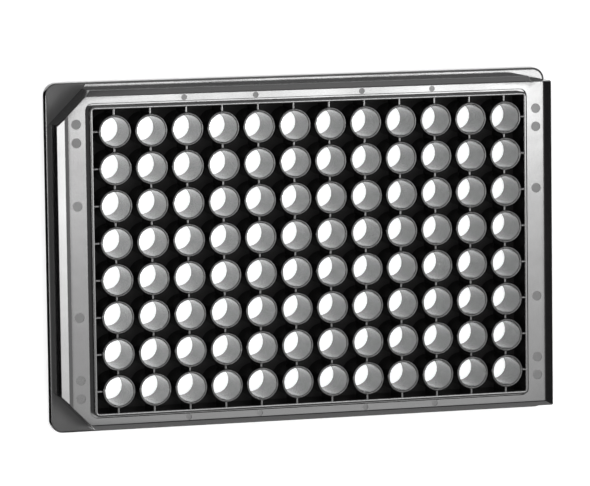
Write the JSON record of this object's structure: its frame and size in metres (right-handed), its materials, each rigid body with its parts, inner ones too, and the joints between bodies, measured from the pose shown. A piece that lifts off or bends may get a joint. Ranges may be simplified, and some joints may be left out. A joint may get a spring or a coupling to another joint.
{
  "type": "well plate",
  "caption": "Microplate for assays: a black moulded plate of round wells in a grid, closed underneath by a clear film.",
  "frame": {"origin": "centre of the footprint, on the surface that the plate stands on", "axes": "+X along a row from the first column to the last, +Y up a column towards the first row, +Z out of the wells"},
  "size_m": [0.1278, 0.0854, 0.0144],
  "materials": {
    "black_polystyrene": "moulded gloss",
    "clear_film": "clear"
  },
  "bodies": {
    "root": {"plate_body": "black_polystyrene", "clear_bottom": "clear_film"}
  },
  "joints": []
}
